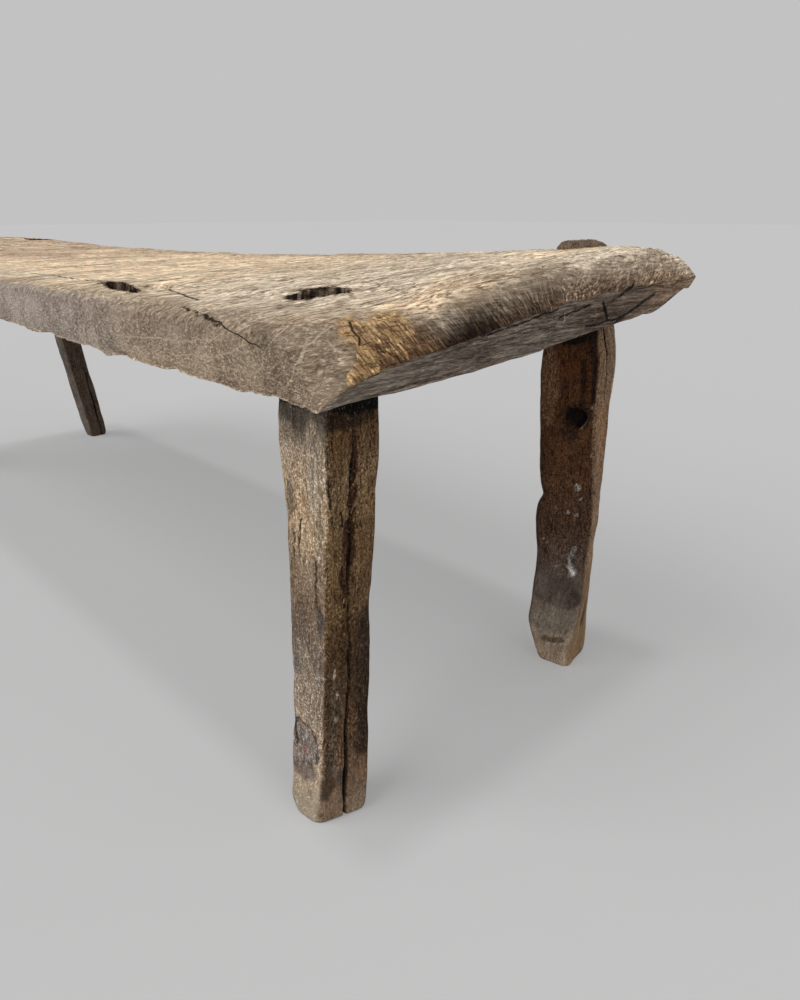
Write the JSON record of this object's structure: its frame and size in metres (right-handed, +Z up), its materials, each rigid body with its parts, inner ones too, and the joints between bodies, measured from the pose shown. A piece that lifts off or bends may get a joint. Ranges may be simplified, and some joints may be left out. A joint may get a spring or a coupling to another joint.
{
  "type": "teak bench",
  "caption": "Long hewn teak bench: a thick worn plank on splayed legs whose wedged tenons come through the seat.",
  "frame": {"origin": "on the floor under the middle of the bench", "axes": "+X along the plank to its near end, -Y its front face, +Z up"},
  "size_m": [1.5, 0.4782, 0.4801],
  "materials": {
    "weathered_plank": "bleached, unfinished",
    "hewn_leg": "dark, unfinished",
    "wedge_wood": "grey, unfinished"
  },
  "bodies": {
    "root": {"seat_plank": "weathered_plank", "leg_near_front": "hewn_leg", "leg_near_back": "hewn_leg", "leg_far_back": "hewn_leg", "leg_far_front": "hewn_leg", "wedge_near_front": "wedge_wood", "wedge_near_back": "wedge_wood", "wedge_far_back": "wedge_wood", "wedge_far_front": "wedge_wood"}
  },
  "joints": []
}
